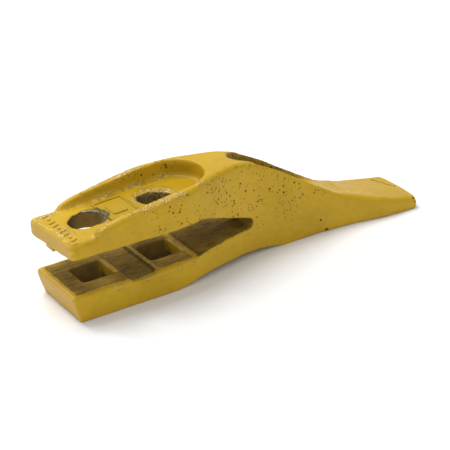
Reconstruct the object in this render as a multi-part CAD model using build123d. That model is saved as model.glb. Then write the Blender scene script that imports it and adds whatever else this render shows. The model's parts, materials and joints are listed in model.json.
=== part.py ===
"""Excavator bucket tooth: a twin-strap, bolt-on steel casting.

The real tooth is one casting. It is written here as named regions that meet face to face with nothing
between them: two straps that clamp the bucket lip, two seat pads, two side rims, a throat block, a crown,
a nose, a digging blade, and the small raised details.

Frame: millimetres, +X towards the digging tip, +Z up, origin at the bottom centre of the whole tooth.
Stations below are distances from the rear bottom edge of the lower strap; part_x() turns them into X.
"""

import os

from build123d import *

# Driving dimensions
HOLE_SPACING = 50.8
HOLE_WIDTH = 23.0
SQUARE_CORNER = 2.0
LIP_GAP = 25.4
TIP_STATION = 273.0
REAR_OVERHANG = 4.6
REAR_STATION = -5.1
HEIGHT = 71.8

# Lower strap and its seat pads
SEAT_Z = 19.1
RECESS_DEPTH = 1.8
RECESS_RAMP = 1.0
FIRST_HOLE = 23.6
UNDER_MOUTH_DEPTH = 1.8
TOP_MOUTH_Z = (56.3, 58.0)
TOP_MOUTH_REACH = 4.0
TOP_MOUTH_SLOPE = 0.6
REAR_PAD_END = 39.5
FRONT_PAD_START = 58.0
FRONT_PAD_END = 91.5
SEAT_EDGE_ROUND = 2.8
HEEL_CORNER_ROUND = 2.0

# Upper strap
UPPER_REAR = -1.2
UPPER_TOP_Z = 56.2
RIM_START = 16.5
JAW_SKEW = 0.066
SKEW_PIVOT = 29.0

# Pocket between the rims
POCKET_HALF_WIDTH = 22.4
POCKET_START = 9.0
POCKET_END_CENTRE = 87.0
POCKET_FLOOR_ROUND = 3.0
POCKET_WALL_TAPER = 5.0
RIM_INNER_ROUND = 2.0
RIM_MOUTH_Z = 65.0
CREST_STATION = 112.0

# Throat
THROAT_START = 93.0
THROAT_TOP_Z = 45.4
THROAT_END = 140.0
THROAT_FLOOR_Z = 21.5
THROAT_STEP = 1.2
THROAT_END_TOP_Z = 27.7
THROAT_END_ROUND = 3.4
THROAT_PEAK_ROUND = 3.0

# Nose and blade
TIP_THICKNESS = 8.0
TIP_BOW = 2.5
ARCH_START = 79.0
ARCH_END = 162.0
ARCH_HEIGHT = 4.6
CREST_ROUND = 4.0
TIP_ROUND = 1.6
SCOOP_START = 133.0
SCOOP_HALF_WIDTH = 9.8

# The outline from above: half widths at the foot and at crest height, station by station
PLAN_STATIONS = (12, 45, 75, 95, 112, 130, 150, 172, 200, 222, 240, TIP_STATION - TIP_BOW)
FOOT_HALF_WIDTHS = (28.2, 28.3, 27.9, 25.8, 22.6, 18.6, 15.7, 15.1, 16.2, 18.6, 22.4, 24.8)
CREST_HALF_WIDTHS = (29.4, 30.3, 31.9, 28.3, 21.9, 16.2, 12.2, 11.6, 12.6, 15.0, 18.8, 21.2)

# Where the regions meet
STRAP_END = 90.0
RIM_INSIDE = 18.0
RIM_BASE_Z = 55.0
RIM_REAR = 30.0
CROWN_END = 150.0
CROWN_BASE_Z = 48.0
NOSE_END = 216.0

# Small raised details
PANEL_CENTRE = 46.6
PANEL_LENGTH = 22.0
PANEL_WIDTH = 31.0
PANEL_BEAD = 1.6
DETAIL_HEIGHT = 0.7
LUG_LENGTH = 13.0
LUG_WIDTH = 10.5
LUG_DEPTH = 3.0
LUG_REAR = -2.4
LUG_SIDE = 4.0
MARK_STATION = 4.6
MARK_COUNT = 9
MARK_PITCH = 5.4
MARK_LENGTH = 5.5
MARK_WIDTH = 1.3

MID_STATION = (TIP_STATION + REAR_STATION) / 2
HOLE_STATIONS = (FIRST_HOLE, FIRST_HOLE + HOLE_SPACING)
UPPER_BOTTOM_Z = SEAT_Z + LIP_GAP
RECESS_Z = SEAT_Z - RECESS_DEPTH
SPLIT_Z = (SEAT_Z + UPPER_BOTTOM_Z) / 2
BEYOND = 40.0


def part_x(station):
    """X of a station along the tooth."""
    return station - MID_STATION


def side_points(points):
    """Station and height pairs as points of the XZ plane."""
    return [(part_x(station), z) for station, z in points]


def region(x_from, x_to, z_from, z_to, y_from=-BEYOND, y_to=BEYOND):
    """A box between two stations, two heights and two sides."""
    size = (x_to - x_from, y_to - y_from, z_to - z_from)
    middle = (part_x((x_from + x_to) / 2), (y_from + y_to) / 2, (z_from + z_to) / 2)
    return Pos(*middle) * Box(*size)


def across(sketch):
    """A side-view sketch made solid across the whole width."""
    return extrude(Plane.XZ * sketch, amount=BEYOND, both=True)


def edges_where(shape, wanted):
    """Edges of a shape picked by their middle point and the size of their box."""
    return [edge for edge in shape.edges() if wanted(edge @ 0.5, edge.bounding_box().size)]


def under_blank():
    """The side view of the underside: a leaning heel, a flat resting face, a low arch and the tip's end."""
    heel = -REAR_OVERHANG * SPLIT_Z / SEAT_Z
    end = TIP_STATION + 4
    arch = [(ARCH_START, 0), (98, 4.0), (118, ARCH_HEIGHT), (140, 3.6), (ARCH_END, 0)]
    outline = [
        Polyline(*side_points([(ARCH_START, 0), (0, 0), (heel, SPLIT_Z), (-BEYOND, SPLIT_Z), (-BEYOND, 90),
                               (end, 90), (end, 0), (ARCH_END, 0)])),
        Spline(*side_points(arch)),
    ]
    return across(make_face(outline))


def top_outline(y):
    """The side view of the top at one side of the tooth: end of the upper strap, rim, crest and nose."""
    lag = JAW_SKEW * (y + SKEW_PIVOT)
    rear = UPPER_REAR - lag
    rim = RIM_START - lag
    crest = [(25 - lag, 61.6), (42 - lag, 65.0), (62 - 0.9 * lag, 67.7), (88 - 0.5 * lag, 70.4),
             (112, HEIGHT), (132, 70.8), (150, 65.6)]
    nose = [(165, 57.6), (181, 46.2), (200, 33.7), (222, 21.9), (245, 14.2), (TIP_STATION, TIP_THICKNESS),
            (TIP_STATION + 4, TIP_THICKNESS - 0.6)]
    outline = [
        Polyline(*side_points([nose[-1], (TIP_STATION + 4, -1), (-BEYOND, -1), (-BEYOND, SPLIT_Z),
                               (rear, SPLIT_Z), (rear, UPPER_TOP_Z), (rim, UPPER_TOP_Z)])),
        Spline(*side_points([(rim, UPPER_TOP_Z), (rim + 3.5, 59.4), crest[0]]),
               tangents=[(1, 0.4), (1, 0.36)]),
        Spline(*side_points(crest + nose), tangents=[(1, 0.36), (1, -0.16)]),
    ]
    return Pos(0, y, 0) * (Plane.XZ * make_face(outline))


def top_blank():
    """The top drawn across from the right side to the left, where the upper jaw lags a little."""
    return loft([top_outline(-BEYOND), top_outline(BEYOND)], ruled=True)


def plan_face(z, half_widths):
    """The outline seen from above at height z, through half widths at the plan stations."""
    left_points = [(part_x(station), half) for station, half in zip(PLAN_STATIONS, half_widths)]
    left = Spline(*left_points, tangents=[(1, 0), (1, 0.05)])
    tip = left @ 1
    heel = left @ 0
    rear_x = part_x(-BEYOND)
    outline = [
        left,
        ThreePointArc(tip, (part_x(TIP_STATION), 0), (tip.X, -tip.Y)),
        mirror(left, about=Plane.XZ),
        Polyline((heel.X, -heel.Y), (rear_x, -heel.Y), (rear_x, heel.Y), heel),
    ]
    return Pos(0, 0, z) * make_face(outline)


def plan_blank():
    """The plan outline drawn up with draft: rims wider than the foot, nose slimmer at its top."""
    return loft([plan_face(-1, FOOT_HALF_WIDTHS), plan_face(HEIGHT + 1, CREST_HALF_WIDTHS)], ruled=True)


def lip_slot():
    """The gap for the bucket lip with the wedge-shaped throat and the two seat pads left standing."""
    outline = Polyline(*side_points([
        (-BEYOND, UPPER_BOTTOM_Z), (-BEYOND, SEAT_Z), (FRONT_PAD_END, SEAT_Z),
        (FRONT_PAD_END + RECESS_RAMP, SEAT_Z + THROAT_STEP), (THROAT_START + 12, THROAT_FLOOR_Z),
        (THROAT_END, THROAT_FLOOR_Z), (THROAT_END, THROAT_END_TOP_Z), (THROAT_START + 2, THROAT_TOP_Z),
        (THROAT_START - 2.5, UPPER_BOTTOM_Z), (-BEYOND, UPPER_BOTTOM_Z),
    ]))
    face = make_face(outline)
    for corner, radius in ((THROAT_END, THROAT_END_ROUND), (THROAT_START + 2, THROAT_PEAK_ROUND)):
        sharp = [v for v in face.vertices() if abs(v.X - part_x(corner)) < 0.01]
        face = fillet(sharp, radius)
    return across(face)


def pocket_floor(rise=0.0):
    """Stations and heights along the pocket floor, lifted by rise."""
    line = [(POCKET_START, UPPER_TOP_Z + 0.05), (PANEL_CENTRE, 58.4), (POCKET_END_CENTRE, 59.7), (130, 60.3)]
    return [(station, z + rise) for station, z in line]


def above_floor(top, rise=0.0):
    """Everything between the pocket floor, lifted by rise, and a line drawn back over it."""
    line = pocket_floor(rise)
    return across(make_face(Polyline(*side_points(line + top + line[:1]))))


def pocket():
    """The pocket between the rims: a round front end and a floor that climbs forward, corners filleted."""
    straight = POCKET_END_CENTRE + BEYOND
    plan = Pos(part_x(POCKET_END_CENTRE - straight / 2), 0) * Rectangle(straight, 2 * POCKET_HALF_WIDTH)
    plan += Pos(part_x(POCKET_END_CENTRE), 0) * Circle(POCKET_HALF_WIDTH)
    walls = extrude(Pos(0, 0, UPPER_TOP_Z) * plan, amount=30, taper=-POCKET_WALL_TAPER)
    tool = walls & above_floor([(130, 90), (POCKET_START, 90)])
    rear = part_x(RIM_START)
    sides = edges_where(tool, lambda p, size: p.Z < 61 and p.X > rear and size.X > 15 and abs(p.Y) > 5)
    front = edges_where(tool, lambda p, size: p.Z < 61 and p.X > part_x(POCKET_END_CENTRE) + 5)
    return fillet(sides + front, POCKET_FLOOR_ROUND)


def scoop():
    """The groove down the nose between two thin ridges, opening out onto the blade."""
    floor = Spline(*side_points([(SCOOP_START - 3, 66), (141, 58.5), (156, 49.5), (180, 38), (200, 29.8),
                                 (216, 23.8), (228, 20.8)]))
    start = floor @ 0
    end = floor @ 1
    below = across(make_face([floor, Polyline(end, (end.X, 90), (start.X, 90), start)]))
    left = Spline(*side_points([(SCOOP_START, 0), (SCOOP_START + 0.9, 3.4), (SCOOP_START + 3.6, 6.6),
                                (145, SCOOP_HALF_WIDTH), (175, 10.4), (204, 12.6), (228, 19.0)]))
    right = mirror(left, about=Plane.XZ)
    return extrude(make_face([left, right, Line(left @ 1, right @ 1)]), amount=90) & below


def bolt_holes():
    """Round bolt holes with flared mouths in the upper strap, and square ones for the bolt heads below."""
    radius = HOLE_WIDTH / 2
    straight = Pos(0, 0, UPPER_TOP_Z) * Cylinder(radius, 30)
    low_mouth = Cone(radius + UNDER_MOUTH_DEPTH + 1, radius, UNDER_MOUTH_DEPTH + 1)
    low_mouth = Pos(0, 0, UPPER_BOTTOM_Z - 1 + (UNDER_MOUTH_DEPTH + 1) / 2) * low_mouth
    top_mouth = Cone(radius, radius + TOP_MOUTH_SLOPE * TOP_MOUTH_REACH, TOP_MOUTH_REACH)
    square = extrude(RectangleRounded(HOLE_WIDTH, HOLE_WIDTH, SQUARE_CORNER), amount=SEAT_Z, both=True)
    tools = []
    for station, mouth_z in zip(HOLE_STATIONS, TOP_MOUTH_Z):
        raised = Pos(0, 0, mouth_z + TOP_MOUTH_REACH / 2) * top_mouth
        tools += [Pos(part_x(station), 0) * tool for tool in (straight, low_mouth, raised, square)]
    return tools


def crest_edges(body):
    """The outer top edges of the upper strap, the rims and the crest."""
    return edges_where(body, lambda p, size: p.Z > UPPER_TOP_Z - 0.2 and size.X + size.Y > 5
                       and (abs(p.Y) > 26 or (abs(p.Y) > 8 and p.X > part_x(CREST_STATION))))


def rim_edges(body):
    """The long top edges round the mouth of the pocket."""
    return edges_where(body, lambda p, size: p.Z > RIM_MOUTH_Z and size.X > 20
                       and abs(p.Y) < 24.5 and p.X < part_x(CREST_STATION))


def rounded_blank():
    """The solid outline of the casting, pocket cut, with its crest, rims, tip and rear corners rounded."""
    body = (under_blank() & plan_blank() & top_blank()) - pocket()
    rear = edges_where(body, lambda p, size: p.X < part_x(UPPER_REAR + 2.5) and p.Z > SPLIT_Z + 1)
    body = fillet(crest_edges(body) + rear, CREST_ROUND)
    body = fillet(rim_edges(body), RIM_INNER_ROUND)
    tip = edges_where(body, lambda p, size: p.X > part_x(TIP_STATION - TIP_BOW - 1.5))
    body = fillet(tip, TIP_ROUND)
    heel = edges_where(body, lambda p, size: p.X < part_x(1) and p.Z < SPLIT_Z - 1 and abs(p.Y) > 20)
    return fillet(heel, HEEL_CORNER_ROUND)


def round_seat(body):
    """The soft edge round the sides and rear of the lip seat."""
    seat = edges_where(body, lambda p, size: abs(p.Z - SEAT_Z) < 0.3 and p.X < part_x(FRONT_PAD_END - 1)
                       and (abs(p.Y) > 25 or p.X < part_x(UPPER_REAR)))
    return fillet(seat, SEAT_EDGE_ROUND)


def casting():
    """The whole tooth as one solid."""
    body = round_seat(rounded_blank() - lip_slot())
    body -= region(REAR_PAD_END, FRONT_PAD_START, RECESS_Z, SEAT_Z + 1)
    body -= scoop()
    for tool in bolt_holes():
        body -= tool
    return body


def strap_lug():
    """The small lug under the rear end of the upper strap, on the left side."""
    size = (LUG_LENGTH, LUG_WIDTH, LUG_DEPTH)
    middle = (part_x(LUG_REAR + LUG_LENGTH / 2), LUG_SIDE, UPPER_BOTTOM_Z - LUG_DEPTH / 2)
    lug = Pos(*middle) * Box(*size)
    low = edges_where(lug, lambda p, size: p.Z < UPPER_BOTTOM_Z - LUG_DEPTH + 0.1)
    return fillet(low, 1.0)


def on_pocket_floor(sketch):
    """A sketch seen from above, raised by the height of the cast details from the pocket floor."""
    lifted = list(reversed(pocket_floor(DETAIL_HEIGHT)))
    return extrude(sketch, amount=90) & above_floor(lifted)


def panel_frame():
    """The raised rectangular frame on the pocket floor between the two bolt holes."""
    outer = RectangleRounded(PANEL_LENGTH, PANEL_WIDTH, 2.0)
    inner = RectangleRounded(PANEL_LENGTH - 2 * PANEL_BEAD, PANEL_WIDTH - 2 * PANEL_BEAD, 1.0)
    return on_pocket_floor(Pos(part_x(PANEL_CENTRE), 0) * (outer - inner))


def panel_pad():
    """The plain raised pad inside the frame."""
    pad = RectangleRounded(PANEL_LENGTH / 2, PANEL_WIDTH / 2, 2.0)
    return on_pocket_floor(Pos(part_x(PANEL_CENTRE), 0) * pad)


def cast_marks():
    """A row of plain raised bars and pips across the rear end of the upper strap."""
    marks = []
    for index in range(MARK_COUNT):
        y = (index - (MARK_COUNT - 1) / 2) * MARK_PITCH
        bar = Rot(0, 0, 20) * RectangleRounded(MARK_LENGTH, MARK_WIDTH, MARK_WIDTH / 2.1)
        shape = Circle(MARK_WIDTH) if index % 3 == 1 else bar
        marks.append(extrude(Pos(part_x(MARK_STATION), y, UPPER_TOP_Z) * shape, amount=DETAIL_HEIGHT))
    return Compound(children=marks)


def nodes():
    """Every named region of the casting and every raised detail."""
    whole = casting()
    rear = -BEYOND
    front = TIP_STATION + BEYOND
    pad_split = (REAR_PAD_END + FRONT_PAD_START) / 2
    rim_left = region(RIM_REAR, STRAP_END, RIM_BASE_Z, 90, RIM_INSIDE, BEYOND)
    rim_right = region(RIM_REAR, STRAP_END, RIM_BASE_Z, 90, -BEYOND, -RIM_INSIDE)
    return {
        "lower_strap": whole & region(rear, STRAP_END, -1, RECESS_Z),
        "rear_seat_pad": whole & region(rear, pad_split, RECESS_Z, SPLIT_Z),
        "front_seat_pad": whole & region(pad_split, STRAP_END, RECESS_Z, SPLIT_Z),
        "upper_strap": (whole & region(rear, STRAP_END, SPLIT_Z, 90)) - rim_left - rim_right,
        "left_rim": whole & rim_left,
        "right_rim": whole & rim_right,
        "crown": whole & region(STRAP_END, CROWN_END, CROWN_BASE_Z, 90),
        "throat_block": whole & region(STRAP_END, CROWN_END, -1, CROWN_BASE_Z),
        "nose": whole & region(CROWN_END, NOSE_END, -1, 90),
        "digging_blade": whole & region(NOSE_END, front, -1, 90),
        "strap_lug": strap_lug(),
        "panel_frame": panel_frame(),
        "panel_pad": panel_pad(),
        "cast_marks": cast_marks(),
    }


def main():
    os.makedirs("parts", exist_ok=True)
    for name, shape in nodes().items():
        export_step(shape, f"parts/{name}.step")


if __name__ == "__main__":
    main()
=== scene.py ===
"""Looks of a bolt-on excavator bucket tooth: one painted steel casting with a bare, worn lip seat.

The CAD regions are joined into one seamless skin, which then gets the soft rounds, the uneven cast surface,
the blow-hole pits and the wear of the real casting. All sizes are in metres, in the CAD's own frame.
"""

import json
import math
import random

import bmesh
import bpy
from mathutils import Matrix, Vector, kdtree, noise

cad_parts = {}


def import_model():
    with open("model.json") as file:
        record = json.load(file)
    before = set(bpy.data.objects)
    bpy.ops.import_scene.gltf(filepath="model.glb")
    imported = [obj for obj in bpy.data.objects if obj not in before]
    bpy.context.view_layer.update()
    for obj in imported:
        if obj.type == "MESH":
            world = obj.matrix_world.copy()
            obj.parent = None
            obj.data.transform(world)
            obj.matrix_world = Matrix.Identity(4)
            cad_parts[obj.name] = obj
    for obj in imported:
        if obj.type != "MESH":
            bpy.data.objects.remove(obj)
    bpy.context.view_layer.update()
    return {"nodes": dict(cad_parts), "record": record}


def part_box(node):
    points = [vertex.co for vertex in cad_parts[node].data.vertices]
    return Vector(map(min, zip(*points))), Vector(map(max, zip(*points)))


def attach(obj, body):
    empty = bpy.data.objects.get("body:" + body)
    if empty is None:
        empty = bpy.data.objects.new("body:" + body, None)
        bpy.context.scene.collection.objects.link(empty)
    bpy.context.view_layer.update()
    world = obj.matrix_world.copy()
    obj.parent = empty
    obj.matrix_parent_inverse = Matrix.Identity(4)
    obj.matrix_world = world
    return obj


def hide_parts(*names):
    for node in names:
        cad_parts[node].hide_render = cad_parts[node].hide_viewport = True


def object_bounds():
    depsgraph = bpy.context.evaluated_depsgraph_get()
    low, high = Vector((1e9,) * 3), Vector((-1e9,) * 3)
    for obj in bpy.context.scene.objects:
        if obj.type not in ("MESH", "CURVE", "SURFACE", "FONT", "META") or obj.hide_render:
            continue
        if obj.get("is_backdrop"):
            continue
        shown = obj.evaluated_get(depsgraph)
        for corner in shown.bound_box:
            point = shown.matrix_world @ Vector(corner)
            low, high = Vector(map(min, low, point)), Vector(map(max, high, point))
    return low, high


MM = 0.001
SEED = 11

# Skins: the casting's own one is coarser than those of the small raised details
VOXEL = 1.0 * MM
SMOOTH_STEPS = 4
CREST_STEPS = 24
DETAIL_VOXEL = 0.3 * MM
DETAIL_SMOOTH_STEPS = 2
DETAIL_SINK = 0.9 * MM
WELD = MM / 500
SMOOTHING = 0.5
CREST_SMOOTHING = 0.6
DETAILS = ("cast_marks", "panel_frame", "panel_pad", "strap_lug")
SEAT_NODES = ("rear_seat_pad", "front_seat_pad")

# Cast surface: broad waves, fine grain, pebbly edges, streaks in the seat and the front hole's lump
WAVE_DEPTH = 0.22 * MM
WAVE_LENGTH = 13 * MM
GRAIN_DEPTH = 0.07 * MM
GRAIN_LENGTH = 2.6 * MM
PEBBLE_DEPTH = 0.5 * MM
PEBBLE_LENGTH = 2.3 * MM
STREAK_DEPTH = 0.16 * MM
STREAK_SIZE = (1.1 * MM, 9 * MM, 4 * MM)
LUMP_DEPTH = 3.0 * MM

# Pits in the sides, and the crack across the top of the tip
PIT_COUNT = 240
PIT_RADIUS = (0.35 * MM, 0.95 * MM)
PIT_DEPTH = (0.35 * MM, 0.8 * MM)
CRACK_STEPS = 26
CRACK_RADIUS = 0.9 * MM
CRACK_DEPTH = 0.7 * MM

# Bare lip seat: half widths at the pads and in the throat, and the painted edge along each
SEAT_HALF_WIDTH = 28.6 * MM
THROAT_HALF_WIDTH = 17.0 * MM
SEAT_EDGE = 3.6 * MM
THROAT_EDGE = 1.2 * MM
SEAT_RAMP = 1.5 * MM
THROAT_END_INSET = 10 * MM

# Paint left ahead of each square hole: its span from the hole's axis, and its sideways fade
RIB_SPAN = (11 * MM, 14.6 * MM)
RIB_FADE = (10 * MM, 14 * MM)

# Zones by distance from the middle plane, each as the start and the end of its fade
SCOOP_FLOOR = (8.2 * MM, 9.6 * MM)
SCOOP_WALL = (10.5 * MM, 12.5 * MM)
POCKET_INSIDE = (20.5 * MM, 23.5 * MM)
RIM_TOP = (22.5 * MM, 24 * MM)
RIM_HEEL = (22 * MM, 25 * MM)
SEAT_RIM = (24 * MM, 26 * MM)

# Fades by a face's normal: level faces by its z, faces that are no longer walls by its z, sides and ends
LEVEL = (0.35, 0.8)
NOT_WALL = (0.3, 0.75)
SIDEWAYS = (0.5, 0.8)

# Studio: the floor's half size and its gap below the tooth, and the strength of the white room
FLOOR_HALF = 6.0
FLOOR_GAP = 0.1 * MM
ROOM_LIGHT = 0.56

# Camera: the tooth seen from its right rear, a little from above, with a long lens
AZIMUTH = math.radians(-28.6)
ELEVATION = math.radians(25.9)
ROLL = math.radians(-4.5)
DISTANCE = 1.212
AIM = (-0.0072, 0.0, 0.0211)
LENS = 141.3
SENSOR = 36


def smooth_step(low, high, value):
    """0 below low, 1 above high, and a smooth rise between them."""
    share = min(max((value - low) / (high - low), 0.0), 1.0)
    return share * share * (3 - 2 * share)


def band(low, high, soft, value):
    """1 between low and high, fading to 0 over soft outside them."""
    return smooth_step(low - soft, low, value) * (1 - smooth_step(high, high + soft, value))


def rough_noise(place, length, octaves=3):
    """Noise between about -1 and 1 with features of the given length."""
    return noise.fractal(place / length, 1.0, 2.0, octaves)


# ---------------------------------------------------------------- the places that the wear and the painted shade follow


class Places:
    """Where the CAD says each zone of wear, paint and painted shade is."""

    def __init__(self, record):
        mounts = {mount["name"]: mount for mount in record["mounts"]}
        self.holes = [Vector(mounts[name]["pos_m"]) for name in ("rear_bolt_hole", "front_bolt_hole")]
        self.hole_radius = mounts["rear_bolt_hole"]["dims"]["r_mm"] * MM
        self.seat_z = mounts["rear_seat"]["pos_m"][2]
        self.under_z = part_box("upper_strap")[0].z
        self.low, self.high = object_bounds()
        self.rear_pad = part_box("rear_seat_pad")
        self.front_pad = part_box("front_seat_pad")
        self.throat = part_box("throat_block")
        self.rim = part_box("left_rim")
        self.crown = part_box("crown")
        self.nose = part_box("nose")
        self.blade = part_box("digging_blade")
        self.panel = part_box("panel_frame")
        self.strap_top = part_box("cast_marks")[0].z
        self.throat_end = self.throat[1].x - THROAT_END_INSET
        front_bore = mounts["front_bolt_hole"]
        self.front_top = front_bore["pos_m"][2] + front_bore["dims"]["length_mm"] * MM / 2
        self.seat_rear = self.rear_pad[0].x
        self.seat_front = self.front_pad[1].x + SEAT_RAMP

    def from_hole(self, index, place):
        """Distance of a place from a bolt hole's axis."""
        hole = self.holes[index]
        return math.hypot(place.x - hole.x, place.y - hole.y)

    def in_lip_gap(self, place, normal):
        """How far a place belongs to the gap's floor or ceiling, and to the end wall of the throat."""
        inside = 1 - smooth_step(self.throat_end, self.throat_end + 4 * MM, place.x)
        floor = smooth_step(*LEVEL, normal.z)
        floor *= band(self.seat_z - 3.5 * MM, self.seat_z + 3.5 * MM, 0.5 * MM, place.z)
        ceiling = smooth_step(*LEVEL, -normal.z)
        ceiling *= band(self.seat_z + 5 * MM, self.under_z + 2 * MM, MM, place.z)
        end_wall = smooth_step(0.3, 0.8, -normal.x)
        end_wall *= band(self.seat_z, self.under_z - 8 * MM, 2 * MM, place.z)
        end_wall *= smooth_step(self.throat_end - 8 * MM, self.throat_end - 2 * MM, place.x)
        return inside * max(floor, ceiling), end_wall

    def half_width(self, place):
        """Rough half width of the seat at a place: it narrows towards the throat."""
        share = smooth_step(self.front_pad[1].x - 6 * MM, self.throat_end, place.x)
        return SEAT_HALF_WIDTH - (SEAT_HALF_WIDTH - THROAT_HALF_WIDTH) * share


def seat_paint(places, place):
    """Paint left ahead of the square holes and along the steps on both sides of the front pad."""
    painted = 0.0
    for hole in places.holes:
        ahead = band(*RIB_SPAN, MM, place.x - hole.x)
        beside = smooth_step(*RIB_FADE, abs(place.y - hole.y))
        painted = max(painted, ahead * (1 - beside))
    if place.z < places.seat_z + MM:
        pad_start = places.front_pad[0].x
        pad_end = places.seat_front
        painted = max(painted, 0.8 * band(pad_start + 1.2 * MM, pad_start + 3.4 * MM, MM, place.x))
        painted = max(painted, 0.8 * band(pad_end - 4 * MM, pad_end - MM, MM, place.x))
    return painted


def seat_mask(places, place, normal):
    """Bare metal on the lip seat and in the throat, inside a yellow edge."""
    flat, end_wall = places.in_lip_gap(place, normal)
    uneven = 1.1 * MM * rough_noise(place, 7 * MM)
    from_side = places.half_width(place) - abs(place.y) + uneven
    from_rear = place.x - places.seat_rear + uneven
    in_throat = smooth_step(places.seat_front - 4 * MM, places.seat_front + 4 * MM, place.x)
    edge = SEAT_EDGE - (SEAT_EDGE - THROAT_EDGE) * in_throat
    clear = smooth_step(edge - 1.2 * MM, edge + MM, from_side) * smooth_step(3.0 * MM, 5.2 * MM, from_rear)
    return max(flat * clear * (1 - 0.75 * seat_paint(places, place)), end_wall)


def seat_step_shade_mask(places, place, normal):
    """Painted shade in the steps between the seat pads, the recess and the throat."""
    if place.z > places.seat_z + 4 * MM or place.z < places.seat_z - 3 * MM:
        return 0.0
    steps = (
        (places.rear_pad[1].x, 0.5 * MM),
        (places.front_pad[0].x, 1.0 * MM),
        (places.seat_front + 0.6 * MM, 0.6 * MM),
    )
    found = max(1 - smooth_step(0.3 * width, 1.3 * width, abs(place.x - x)) for x, width in steps)
    return found * smooth_step(2 * MM, 5 * MM, places.half_width(place) - abs(place.y))


def bore_mask(places, place, normal):
    """Bare walls of the round and square holes, darkened with painted shade, but for the painted top of a
    square hole's front wall.
    """
    nearest = min(places.from_hole(index, place) for index in range(len(places.holes)))
    if nearest > places.hole_radius + 4.6 * MM:
        return 0.0
    wall = 1 - smooth_step(*NOT_WALL, abs(normal.z))
    painted = smooth_step(*SIDEWAYS, -normal.x)
    painted *= band(places.seat_z - 7 * MM, places.seat_z, 2 * MM, place.z)
    return wall * (1 - 0.8 * painted)


def lit_wall_mask(places, place, normal):
    """Lighter brown in patches on the holes' front and far walls, which face the camera: painted light
    against the painted shade of the other walls.
    """
    return smooth_step(-0.2, 0.7, -0.8 * normal.x - 0.6 * normal.y)


def ring_mask(places, place, normal):
    """Metal rubbed bare by the nut round the rear hole, most of it on the panel's side."""
    if place.z < places.strap_top - 1.5 * MM or normal.z < 0.2:
        return 0.0
    hole = places.holes[0]
    reach = places.from_hole(0, place) - places.hole_radius
    towards_panel = smooth_step(-0.1, 0.95, (place.x - hole.x) / (places.hole_radius + max(reach, 0)))
    width = (0.7 + 4.2 * towards_panel) * MM + 1.3 * MM * rough_noise(place, 4 * MM)
    return 1 - smooth_step(width - 1.3 * MM, width + 0.8 * MM, reach)


def tan_mask(places, place, normal):
    """Paler tan colour on the rear end faces, a little uneven."""
    end = 1 - smooth_step(places.low.x + 8 * MM, places.low.x + 12 * MM, place.x)
    return smooth_step(0.55, 0.85, -normal.x) * end * (0.8 + 0.2 * rough_noise(place, 9 * MM))


def scoop_shade(places, place, normal):
    """Painted shade on the scoop's floor and on its two inner walls."""
    scoop = band(places.crown[1].x - 12 * MM, places.nose[1].x - 22 * MM, 6 * MM, place.x)
    scoop *= smooth_step(24 * MM, 30 * MM, place.z)
    floor = 1 - smooth_step(*SCOOP_FLOOR, abs(place.y))
    wall = smooth_step(0.3, 0.7, -normal.y if place.y > 0 else normal.y)
    wall *= 1 - smooth_step(*SCOOP_WALL, abs(place.y))
    return scoop * max(floor, wall) * (0.66 + 0.2 * rough_noise(place, 6 * MM))


def panel_outline_shade(places, place):
    """Painted shade in broken lines along the outline of the panel's frame."""
    low, high = places.panel
    outside = max(low.x - place.x, place.x - high.x, low.y - place.y, place.y - high.y)
    outline = 1 - smooth_step(0.3 * MM, 1.1 * MM, abs(outside))
    outline *= band(low.z - MM, high.z, MM, place.z)
    return outline * smooth_step(-0.35, 0.35, rough_noise(place, 7 * MM))


def pocket_corner_shade(places, place):
    """Painted shade in patches where the pocket's floor meets the rims."""
    if not places.rim[0].x - 10 * MM < place.x < places.crown[1].x - 36 * MM:
        return 0.0
    corner = band(19.5 * MM, 21.6 * MM, 0.8 * MM, abs(place.y))
    corner *= band(places.strap_top, places.strap_top + 5 * MM, MM, place.z)
    return corner * smooth_step(-0.1, 0.5, rough_noise(place, 4 * MM))


def painted_shade_mask(places, place, normal):
    """Painted shade in the scoop, in the pocket's corner and along the cast panel's frame."""
    scoop = scoop_shade(places, place, normal)
    panel = panel_outline_shade(places, place)
    corner = pocket_corner_shade(places, place)
    return min(max(scoop, 0.9 * panel, 0.4 * corner, 0.0), 1.0)


def pitted_mask(places, place, normal):
    """Where the sides carry fine specks between the larger pits."""
    side = smooth_step(*SIDEWAYS, abs(normal.y)) * smooth_step(12 * MM, 26 * MM, place.z)
    along = band(places.crown[0].x - 30 * MM, places.nose[1].x - 30 * MM, 25 * MM, place.x)
    return side * along * smooth_step(-0.3, 0.4, rough_noise(place, 13 * MM))


def pocket_shade_mask(places, place, normal):
    """Painted shade: the deeper yellow inside the nut pocket, where its walls shade it."""
    low, high = places.rim
    inside = 1 - smooth_step(*POCKET_INSIDE, abs(place.y))
    level = band(places.strap_top + 0.5 * MM, places.strap_top + 11 * MM, 1.5 * MM, place.z)
    return inside * level * band(low.x + 4 * MM, high.x + 16 * MM, 6 * MM, place.x)


def pebbled_rims(places, place, normal):
    """Pebbles on the rim tops, in the pocket's corner and on the rear ends of the rims."""
    low, high = places.rim
    top = 0.0
    if low.x - 20 * MM < place.x < high.x + 12 * MM and place.z > places.strap_top + 3 * MM:
        top = smooth_step(*RIM_TOP, abs(place.y)) * smooth_step(0.35, 0.7, normal.z)
    corner = band(18.4 * MM, 21.8 * MM, MM, abs(place.y))
    corner *= band(places.strap_top, places.strap_top + 6 * MM, MM, place.z)
    corner *= band(low.x + 14 * MM, high.x + 2 * MM, 6 * MM, place.x)
    heel = band(places.strap_top + 0.5 * MM, places.strap_top + 6 * MM, MM, place.z)
    heel *= band(places.holes[0].x - 9 * MM, places.holes[0].x + 2 * MM, 2 * MM, place.x)
    heel *= smooth_step(*RIM_HEEL, abs(place.y))
    return max(top, corner, heel)


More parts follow.
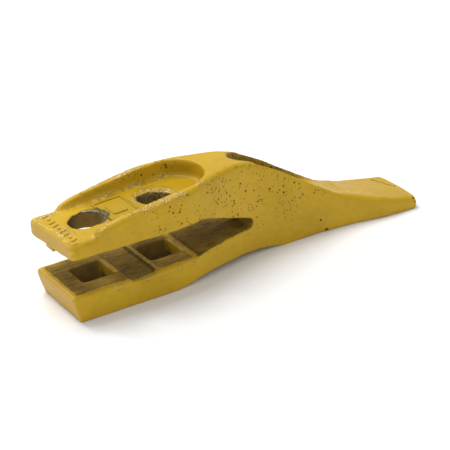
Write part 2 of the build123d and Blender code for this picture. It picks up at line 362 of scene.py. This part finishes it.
def pebbled_edges(places, place):
    """Pebbles on the marked rear end of the upper strap and along the sides of the seat."""
    marks = band(places.low.x, places.holes[0].x - 14 * MM, MM, place.x)
    marks *= smooth_step(places.strap_top - MM, places.strap_top, place.z)
    seat_rim = band(places.seat_z - 3.6 * MM, places.seat_z, MM, place.z)
    seat_rim *= band(places.holes[0].x, places.holes[1].x + 10 * MM, 9 * MM, place.x)
    seat_rim *= smooth_step(*SEAT_RIM, abs(place.y))
    return max(0.7 * marks, 0.8 * seat_rim)


def pebbled_lip(places, place):
    """Pebbles on the far lip of the front hole."""
    lip = band(places.hole_radius - 4 * MM, places.hole_radius + 3 * MM, MM, places.from_hole(1, place))
    lip *= smooth_step(-4 * MM, 3 * MM, place.y - places.holes[1].y)
    return lip * smooth_step(places.strap_top - 4 * MM, places.strap_top, place.z)


def pebble_mask(places, place, normal):
    """Pebbly, glossy skin: whole on the front hole's lip, in patches elsewhere."""
    patchy = max(pebbled_rims(places, place, normal), pebbled_edges(places, place))
    patchy *= smooth_step(-0.25, 0.45, rough_noise(place, 8 * MM))
    return max(pebbled_lip(places, place), patchy)


# ---------------------------------------------------------------- the skin


def applied(thing):
    """The object's mesh with its modifiers applied."""
    graph = bpy.context.evaluated_depsgraph_get()
    mesh = bpy.data.meshes.new_from_object(thing.evaluated_get(graph))
    thing.modifiers.clear()
    thing.data = mesh
    return thing


def voxel_skin(name, nodes, voxel, steps):
    """One closed voxel skin round some CAD nodes, with soft cast rounds."""
    shell = bmesh.new()
    for node in nodes:
        shell.from_mesh(node.data)
    bmesh.ops.remove_doubles(shell, verts=shell.verts, dist=WELD)
    mesh = bpy.data.meshes.new(name)
    shell.to_mesh(mesh)
    shell.free()
    skin = bpy.data.objects.new(name, mesh)
    bpy.context.scene.collection.objects.link(skin)
    voxels = skin.modifiers.new("voxels", "REMESH")
    voxels.mode = "VOXEL"
    voxels.voxel_size = voxel
    rounds = skin.modifiers.new("rounds", "SMOOTH")
    rounds.factor = SMOOTHING
    rounds.iterations = steps
    return applied(skin)


def soften_crest(skin, places):
    """Softens the thin land between the scoop and the outer edges."""
    group = skin.vertex_groups.new(name="crest")
    for vertex in skin.data.vertices:
        place = vertex.co
        weight = band(places.nose[0].x, places.nose[1].x, 8 * MM, place.x)
        weight *= smooth_step(20 * MM, 27 * MM, place.z)
        weight *= band(6 * MM, 18 * MM, 2 * MM, abs(place.y))
        if weight > 0:
            group.add([vertex.index], weight, "REPLACE")
    rounds = skin.modifiers.new("crest", "SMOOTH")
    rounds.vertex_group = "crest"
    rounds.factor = CREST_SMOOTHING
    rounds.iterations = CREST_STEPS
    applied(skin)
    skin.vertex_groups.clear()


def detail_skin(node_name, node):
    """A fine skin of one raised detail, whose base is sunk into the casting: down, or up for the lug."""
    skin = voxel_skin(node_name + "_skin", [node], DETAIL_VOXEL, DETAIL_SMOOTH_STEPS)
    sink = DETAIL_SINK if node_name != "strap_lug" else -DETAIL_SINK
    for vertex in skin.data.vertices:
        if vertex.normal.z * sink < -0.3 * DETAIL_SINK:
            vertex.co.z -= sink
    return skin


def scars(places):
    """Flaws as (place, radius, depth): chips and a crack at the tip, a gouge and bumps on the near side."""
    tip = places.blade[1].x
    near = places.blade[0].y
    found = [
        (Vector((tip - 4.3 * MM, near + 1.6 * MM, 7.7 * MM)), 1.1 * MM, 0.7 * MM),
        (Vector((tip - 3.5 * MM, near + 0.3 * MM, 5.1 * MM)), 1.0 * MM, 0.6 * MM),
        (Vector((places.blade[0].x - 17 * MM, -16 * MM, 1.0 * MM)), 1.7 * MM, 1.0 * MM),
        (Vector((places.blade[0].x - 21 * MM, -15.3 * MM, 9.8 * MM)), 1.0 * MM, 0.8 * MM),
        (Vector((places.throat[0].x + 17.5 * MM, -23.8 * MM, 20.4 * MM)), 2.0 * MM, -0.9 * MM),
        (Vector((places.seat_rear + 4.4 * MM, -28.2 * MM, places.under_z + 4.4 * MM)), 3.4 * MM, -2.0 * MM),
    ]
    chance = random.Random(SEED + 1)
    for step in range(CRACK_STEPS):
        share = step / CRACK_STEPS
        across = 17 * MM - 18 * MM * share
        along = tip - 12.5 * MM + 8.5 * MM * share + chance.uniform(-0.6, 0.6) * MM
        if chance.random() < 0.85:
            found.append((Vector((along, across, 10.3 * MM - 1.7 * MM * share)), CRACK_RADIUS, CRACK_DEPTH))
    return found


def pit_seeds(mesh, places):
    """Random places for the blow-hole pits: thickest on the sides of the crown and the nose."""
    chance = random.Random(SEED)
    seeds = scars(places)
    wanted = len(seeds) + PIT_COUNT
    while len(seeds) < wanted:
        vertex = mesh.vertices[chance.randrange(len(mesh.vertices))]
        place, normal = vertex.co, vertex.normal
        if abs(normal.y) < 0.75 or place.z < 6 * MM:
            continue
        dense = band(places.crown[0].x - 12 * MM, places.nose[1].x - 25 * MM, 25 * MM, place.x)
        dense *= smooth_step(14 * MM, 30 * MM, place.z)
        patchy = smooth_step(-0.45, 0.35, rough_noise(place, 16 * MM))
        if chance.random() > (0.07 + 0.93 * dense) * patchy:
            continue
        size = chance.random() ** 2.5
        radius = PIT_RADIUS[0] + (PIT_RADIUS[1] - PIT_RADIUS[0]) * size
        depth = PIT_DEPTH[0] + (PIT_DEPTH[1] - PIT_DEPTH[0]) * chance.random()
        seeds.append((place.copy(), radius, depth))
    return seeds


def refine_near(mesh, seeds):
    """Finer mesh round each pit, so that the pits are real hollows."""
    tree = kdtree.KDTree(len(seeds))
    for index, (place, radius, depth) in enumerate(seeds):
        tree.insert(place, index)
    tree.balance()
    shell = bmesh.new()
    shell.from_mesh(mesh)
    edges = []
    for edge in shell.edges:
        middle = (edge.verts[0].co + edge.verts[1].co) / 2
        place, index, reach = tree.find(middle)
        if reach < seeds[index][1] * 1.6 + 0.3 * MM:
            edges.append(edge)
    bmesh.ops.subdivide_edges(shell, edges=edges, cuts=2, use_grid_fill=True)
    bmesh.ops.triangulate(shell, faces=[face for face in shell.faces if len(face.verts) > 4])
    shell.to_mesh(mesh)
    shell.free()
    return tree


def pit_hollow(seeds, tree, place):
    """Depth of the pit at a place, and how dark it is. A bump has a depth below 0 and stays yellow."""
    centre, index, reach = tree.find(place)
    radius, depth = seeds[index][1:]
    inside = 1 - smooth_step(0.35 * radius, 1.15 * radius, reach)
    return depth * inside, inside if depth > 0 else 0.0


def front_lump(places, place):
    """The rough lump on the far lip of the front hole, which leans into the hole."""
    hole = places.holes[1]
    away = Vector((place.x - hole.x, place.y - hole.y, 0))
    reach = away.length
    if not 4 * MM < reach < 18 * MM:
        return Vector((0, 0, 0))
    away.normalize()
    side = smooth_step(0.0, 0.75, 0.45 * away.x + 0.9 * away.y)
    ring = band(places.hole_radius - 2 * MM, places.hole_radius + MM, 3 * MM, reach)
    level = band(hole.z + MM, places.front_top + 2 * MM, 3 * MM, place.z)
    size = LUMP_DEPTH * side * ring * level * (1 + 0.35 * rough_noise(place, 2.5 * MM))
    return Vector((-away.x * size, -away.y * size, -0.3 * size))


def relief(place, masks):
    """How far the cast surface stands in or out at a place."""
    wave = rough_noise(place, WAVE_LENGTH, 2) - 0.5
    grain = rough_noise(place, GRAIN_LENGTH, 2)
    offset = WAVE_DEPTH * wave + GRAIN_DEPTH * grain
    if masks["pebble"] > 0:
        offset += PEBBLE_DEPTH * max(rough_noise(place, PEBBLE_LENGTH, 2), -0.4) * masks["pebble"]
    if masks["bare"] > 0:
        stretched = Vector([along / size for along, size in zip(place, STREAK_SIZE)])
        offset += STREAK_DEPTH * noise.noise(stretched) * masks["bare"]
    return offset


MASKS = {
    "bare": seat_mask,
    "line": seat_step_shade_mask,
    "bore": bore_mask,
    "warm": lit_wall_mask,
    "ring": ring_mask,
    "tan": tan_mask,
    "grime": painted_shade_mask,
    "pocket": pocket_shade_mask,
    "pitted": pitted_mask,
    "pebble": pebble_mask,
}


def cast_surface(skin, places, seeds):
    """Moves every point of a skin by the cast relief and stores the wear and painted-shade masks for the
    material.
    """
    mesh = skin.data
    tree = refine_near(mesh, seeds)
    values = {name: [] for name in (*MASKS, "pit")}
    moved = []
    for vertex in mesh.vertices:
        place, normal = vertex.co.copy(), vertex.normal.copy()
        masks = {name: mask(places, place, normal) for name, mask in MASKS.items()}
        hollow, masks["pit"] = pit_hollow(seeds, tree, place)
        target = place + normal * (relief(place, masks) - hollow) + front_lump(places, place)
        target.x = min(max(target.x, places.low.x), places.high.x)
        target.y = min(max(target.y, places.low.y), places.high.y)
        target.z = min(max(target.z, 0.0), places.high.z)
        moved.append(target)
        for name, column in values.items():
            column.append(masks[name])
    for vertex, target in zip(mesh.vertices, moved):
        vertex.co = target
    for name, column in values.items():
        mesh.attributes.new(name, "FLOAT", "POINT").data.foreach_set("value", column)
    mesh.shade_smooth()
    mesh.update()


# ---------------------------------------------------------------- materials


class Nodes:
    """Short names for building a material's node tree."""

    def __init__(self, name):
        self.material = bpy.data.materials.new(name)
        self.material.use_nodes = True
        self.tree = self.material.node_tree
        self.tree.nodes.clear()
        self.place = self.node("ShaderNodeTexCoord").outputs["Object"]

    def node(self, kind, **settings):
        """A new node with some of its settings."""
        made = self.tree.nodes.new(kind)
        for name, value in settings.items():
            setattr(made, name, value)
        return made

    def set(self, socket, value):
        """A socket takes another node's output or a plain value."""
        if isinstance(value, bpy.types.NodeSocket):
            self.tree.links.new(value, socket)
        else:
            socket.default_value = value

    def noise(self, length, detail=3.0, stretch=(1.0, 1.0, 1.0)):
        """A noise pattern with features of the given length in metres."""
        mapping = self.node("ShaderNodeMapping")
        self.set(mapping.inputs["Vector"], self.place)
        self.set(mapping.inputs["Scale"], stretch)
        made = self.node("ShaderNodeTexNoise")
        self.set(made.inputs["Vector"], mapping.outputs["Vector"])
        self.set(made.inputs["Scale"], 1 / length)
        self.set(made.inputs["Detail"], detail)
        return made.outputs["Fac"]

    def specks(self, spacing, size):
        """1 in small round specks at random places."""
        made = self.node("ShaderNodeTexVoronoi")
        self.set(made.inputs["Vector"], self.place)
        self.set(made.inputs["Scale"], 1 / spacing)
        return self.ramp(made.outputs["Distance"], size / spacing, 0.6 * size / spacing)

    def mask(self, name):
        """One of the masks that cast_surface stored."""
        return self.node("ShaderNodeAttribute", attribute_name=name).outputs["Fac"]

    def ramp(self, value, low, high, to_low=0.0, to_high=1.0):
        """Value mapped from low..high to to_low..to_high, clamped."""
        made = self.node("ShaderNodeMapRange")
        ends = {"Value": value, "From Min": low, "From Max": high, "To Min": to_low, "To Max": to_high}
        for name, given in ends.items():
            self.set(made.inputs[name], given)
        return made.outputs["Result"]

    def math(self, operation, first, second):
        """Two values put together; a product is kept between 0 and 1."""
        made = self.node("ShaderNodeMath", operation=operation, use_clamp=operation == "MULTIPLY")
        self.set(made.inputs[0], first)
        self.set(made.inputs[1], second)
        return made.outputs["Value"]

    def mix(self, share, first, second):
        """Colour between first and second."""
        made = self.node("ShaderNodeMix", data_type="RGBA")
        self.set(made.inputs["Factor"], share)
        self.set(made.inputs[6], first)
        self.set(made.inputs[7], second)
        return made.outputs[2]

    def ragged(self, name, length=1.6 * MM, reach=0.3):
        """A wear mask with its soft edge broken up by noise."""
        broken = self.ramp(self.noise(length), 0.3, 0.7, -reach, reach)
        edge = self.math("ADD", self.mask(name), broken)
        return self.ramp(edge, 0.35, 0.65)

    def bump(self, layers):
        """Bumps from (height, depth in metres) pairs, one on the other."""
        normal = None
        for height, depth in layers:
            made = self.node("ShaderNodeBump")
            self.set(made.inputs["Distance"], depth)
            self.set(made.inputs["Height"], height)
            if normal is not None:
                self.set(made.inputs["Normal"], normal)
            normal = made.outputs["Normal"]
        return normal


YELLOW = (0.57, 0.352, 0.013, 1)
YELLOW_DEEP = (0.475, 0.288, 0.008, 1)
YELLOW_PALE = (0.63, 0.41, 0.033, 1)
# Painted shade inside the nut pocket
YELLOW_POCKET_SHADE = (0.40, 0.247, 0.003, 1)
TAN = (0.55, 0.35, 0.075, 1)
# Olive painted shade for the scoop, the pocket's corners and the panel's outline
OLIVE_SHADE = (0.095, 0.062, 0.006, 1)
PIT_DARK = (0.06, 0.032, 0.006, 1)
STEEL_GREEN = (0.19, 0.175, 0.085, 1)
SEAT_BROWN = (0.30, 0.175, 0.012, 1)
SEAT_DARK = (0.115, 0.065, 0.010, 1)
SEAT_GREY = (0.38, 0.265, 0.040, 1)
# Painted highlight: the bright sparkle specks on the seat
SEAT_HIGHLIGHT = (0.66, 0.50, 0.13, 1)
# Painted shade inside the holes, and the lighter brown of the walls lit from the camera's side
BORE_SHADE = (0.10, 0.085, 0.035, 1)
BORE_BROWN = (0.36, 0.20, 0.030, 1)
FLOOR_GREY = (0.90, 0.90, 0.90, 1)
FLOOR_WHITE = (0.93, 0.93, 0.93, 1)
PAINT_ROUGHNESS = (0.26, 0.42)
DULL_ROUGHNESS = 0.7


def paint_colour(make):
    """Yellow paint, a little uneven, with tan ends, olive painted shade, deeper painted shade in the pocket
    and dark pits.
    """
    broad = make.ramp(make.noise(38 * MM, 4.0), 0.35, 0.65)
    mottled = make.ramp(make.noise(4.5 * MM, 5.0), 0.35, 0.7)
    colour = make.mix(broad, YELLOW, YELLOW_DEEP)
    colour = make.mix(make.math("MULTIPLY", mottled, 0.3), colour, YELLOW_PALE)
    colour = make.mix(make.math("MULTIPLY", make.mask("tan"), 0.8), colour, TAN)
    # Painted shade in the nut pocket
    colour = make.mix(make.math("MULTIPLY", make.mask("pocket"), 0.75), colour, YELLOW_POCKET_SHADE)
    # Painted shade, broken into patches
    patches = make.ramp(make.noise(5 * MM, 4.0), 0.25, 0.6, 0.45, 1.0)
    colour = make.mix(make.math("MULTIPLY", make.mask("grime"), patches), colour, OLIVE_SHADE)
    specks = make.math("MULTIPLY", make.specks(2.7 * MM, 0.8 * MM), make.mask("pitted"))
    colour = make.mix(make.math("MULTIPLY", specks, 0.85), colour, PIT_DARK)
    return make.mix(make.mask("pit"), colour, PIT_DARK)


def metal_colour(make):
    """Brown seat metal with streaks along the way that the lip slides, greyer patches and painted
    highlights in fine specks.
    """
    streaks = make.ramp(make.noise(1.7 * MM, 6.0, (0.14, 1.0, 0.5)), 0.36, 0.64)
    patches = make.ramp(make.noise(11 * MM, 4.0), 0.36, 0.66)
    specks = make.ramp(make.noise(0.7 * MM, 2.0), 0.58, 0.72)
    colour = make.mix(streaks, SEAT_DARK, SEAT_BROWN)
    colour = make.mix(make.math("MULTIPLY", patches, 0.45), colour, SEAT_GREY)
    return make.mix(make.math("MULTIPLY", specks, 0.5), colour, SEAT_HIGHLIGHT)


def casting_colour(make, bare, ring, bore):
    """Paint, seat metal, hole walls and the rubbed ring, with painted shade in the seat's steps over them
    all.
    """
    # Hole walls: painted shade, lighter where they face the camera
    lit_walls = make.math("MULTIPLY", make.mask("warm"), make.noise(6 * MM))
    hole_walls = make.mix(lit_walls, BORE_SHADE, BORE_BROWN)
    ring_metal = make.mix(make.ramp(make.noise(2 * MM), 0.4, 0.6), STEEL_GREEN, SEAT_DARK)
    colour = make.mix(bare, paint_colour(make), metal_colour(make))
    colour = make.mix(bore, colour, hole_walls)
    colour = make.mix(ring, colour, ring_metal)
    # Painted shade in the seat's steps
    return make.mix(make.math("MULTIPLY", make.mask("line"), 0.75), colour, PIT_DARK)


def casting_roughness(make, bare, bore):
    """Uneven gloss on the paint, and dull holes, pits, seat and rear ends."""
    dull = make.math("MAXIMUM", bore, make.mask("pit"))
    dull = make.math("MAXIMUM", dull, make.math("MULTIPLY", bare, 0.6))
    dull = make.math("MAXIMUM", dull, make.math("MULTIPLY", make.mask("tan"), 0.5))
    rough = make.node("ShaderNodeMix", data_type="FLOAT")
    make.set(rough.inputs["Factor"], dull)
    make.set(rough.inputs[2], make.ramp(make.noise(7 * MM, 4.0), 0.3, 0.7, *PAINT_ROUGHNESS))
    make.set(rough.inputs[3], DULL_ROUGHNESS)
    return rough.outputs[0]


def casting_bumps(make, bare):
    """Orange peel in the paint, pebbles on the rough edges and scratches in the bare metal."""
    orange_peel = make.noise(1.3 * MM, 3.0)
    pebbles = make.math("MULTIPLY", make.noise(1.2 * MM, 1.0), make.mask("pebble"))
    scratches = make.math("MULTIPLY", make.noise(0.8 * MM, 6.0, (0.15, 1.0, 0.4)), bare)
    return make.bump([(orange_peel, 0.06 * MM), (pebbles, 1.5 * MM), (scratches, 0.45 * MM)])


def casting_material():
    """The whole casting: glossy paint, bare seat, rubbed ring and hole walls, told apart by the masks."""
    make = Nodes("painted_casting")
    bare = make.ragged("bare")
    ring = make.ragged("ring", 1.1 * MM)
    bore = make.mask("bore")
    normal = casting_bumps(make, bare)
    shader = make.node("ShaderNodeBsdfPrincipled")
    make.set(shader.inputs["Base Color"], casting_colour(make, bare, ring, bore))
    make.set(shader.inputs["Roughness"], casting_roughness(make, bare, bore))
    make.set(shader.inputs["Metallic"], make.math("MULTIPLY", ring, 0.5))
    make.set(shader.inputs["IOR"], 1.5)
    make.set(shader.inputs["Specular IOR Level"], make.ramp(bare, 0.0, 1.0, 0.2, 0.1))
    make.set(shader.inputs["Coat Weight"], make.mask("pebble"))
    make.set(shader.inputs["Coat Roughness"], 0.07)
    make.set(shader.inputs["Normal"], normal)
    make.set(shader.inputs["Coat Normal"], normal)
    out = make.node("ShaderNodeOutputMaterial")
    make.set(out.inputs["Surface"], shader.outputs["BSDF"])
    return make.material


def floor_material():
    """Plain pale studio floor with a faint unevenness."""
    make = Nodes("studio_floor")
    shader = make.node("ShaderNodeBsdfPrincipled")
    make.set(shader.inputs["Base Color"], make.mix(make.noise(0.4, 2.0), FLOOR_GREY, FLOOR_WHITE))
    make.set(shader.inputs["Roughness"], 0.9)
    make.set(shader.inputs["Specular IOR Level"], 0.1)
    out = make.node("ShaderNodeOutputMaterial")
    make.set(out.inputs["Surface"], shader.outputs["BSDF"])
    return make.material


# ---------------------------------------------------------------- pieces


def split_seat(skin):
    """Moves the bare lip seat's faces into a piece of their own."""
    mesh = skin.data
    bare = mesh.attributes["bare"].data
    seat = skin.copy()
    seat.data = mesh.copy()
    seat.name = "lip_seat"
    seat.data.name = "lip_seat"
    bpy.context.scene.collection.objects.link(seat)
    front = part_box("front_seat_pad")[1].x
    chosen = set()
    for polygon in mesh.polygons:
        share = sum(bare[index].value for index in polygon.vertices) / len(polygon.vertices)
        if share > 0.5 and polygon.normal.z > 0.3 and polygon.center.x < front:
            chosen.add(polygon.index)
    for thing, keep in ((skin, False), (seat, True)):
        shell = bmesh.new()
        shell.from_mesh(thing.data)
        gone = [face for face in shell.faces if (face.index in chosen) != keep]
        bmesh.ops.delete(shell, geom=gone, context="FACES")
        shell.to_mesh(thing.data)
        shell.free()
    return seat


# ---------------------------------------------------------------- stage, light and camera


def studio_floor():
    """A wide pale floor just under the tooth."""
    mesh = bpy.data.meshes.new("floor")
    corners = [(FLOOR_HALF * x, FLOOR_HALF * y, 0) for x, y in ((-1, -1), (1, -1), (1, 1), (-1, 1))]
    mesh.from_pydata(corners, [], [(0, 1, 2, 3)])
    floor = bpy.data.objects.new("floor", mesh)
    floor.location.z = -FLOOR_GAP
    floor.data.materials.append(floor_material())
    bpy.context.scene.collection.objects.link(floor)
    floor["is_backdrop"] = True


def soft_light(name, place, size, power):
    """A square soft box that points at the tooth."""
    data = bpy.data.lights.new(name, "AREA")
    data.shape = "SQUARE"
    data.size = size
    data.energy = power
    light = bpy.data.objects.new(name, data)
    light.location = place
    light.rotation_euler = (Vector(AIM) - Vector(place)).to_track_quat("-Z", "Y").to_euler()
    bpy.context.scene.collection.objects.link(light)


def studio_light():
    """An even white room with a soft box overhead, a small one for the glints and a weak one in front."""
    world = bpy.data.worlds.new("studio")
    world.use_nodes = True
    room = world.node_tree.nodes["Background"]
    room.inputs["Color"].default_value = (1, 1, 1, 1)
    room.inputs["Strength"].default_value = ROOM_LIGHT
    bpy.context.scene.world = world
    soft_light("overhead", (-0.1, 0.5, 1.4), 0.8, 15)
    soft_light("glints", (-0.45, 1.1, 1.0), 0.25, 5)
    soft_light("front", (-0.9, -1.6, 1.0), 0.9, 3)
    bpy.context.scene.view_settings.view_transform = "Standard"


def photo_camera():
    """A long lens from the right rear, a little above, rolled slightly."""
    right = Vector((math.cos(AZIMUTH), math.sin(AZIMUTH), 0))
    level_back = Vector((math.sin(AZIMUTH), -math.cos(AZIMUTH), 0))
    back = level_back * math.cos(ELEVATION) + Vector((0, 0, math.sin(ELEVATION)))
    up = back.cross(right)
    turned_right = right * math.cos(ROLL) + up * math.sin(ROLL)
    turned_up = up * math.cos(ROLL) - right * math.sin(ROLL)
    data = bpy.data.cameras.new("camera")
    data.lens = LENS
    data.sensor_width = SENSOR
    data.clip_start = 0.05
    camera = bpy.data.objects.new("camera", data)
    axes = Matrix((turned_right, turned_up, back)).transposed()
    camera.matrix_world = Matrix.Translation(Vector(AIM) + back * DISTANCE) @ axes.to_4x4()
    bpy.context.scene.collection.objects.link(camera)
    bpy.context.scene.camera = camera


def main():
    """Makes the pieces from the CAD nodes, then the studio round them."""
    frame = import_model()
    places = Places(frame["record"])
    nodes = frame["nodes"]
    regions = sorted(set(nodes) - set(DETAILS))
    casting = voxel_skin("tooth_casting", [nodes[name] for name in regions], VOXEL, SMOOTH_STEPS)
    soften_crest(casting, places)
    seeds = pit_seeds(casting.data, places)
    paint = casting_material()
    cast_surface(casting, places, seeds)
    casting.data.materials.append(paint)
    seat = split_seat(casting)
    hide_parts(*[name for name in regions if name not in SEAT_NODES])
    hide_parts(*SEAT_NODES)
    pieces = [casting, seat]
    for name in DETAILS:
        detail = detail_skin(name, nodes[name])
        cast_surface(detail, places, seeds)
        detail.data.materials.append(paint)
        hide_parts(name)
        pieces.append(detail)
    for piece in pieces:
        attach(piece, "root")
    studio_floor()
    studio_light()
    photo_camera()


main()
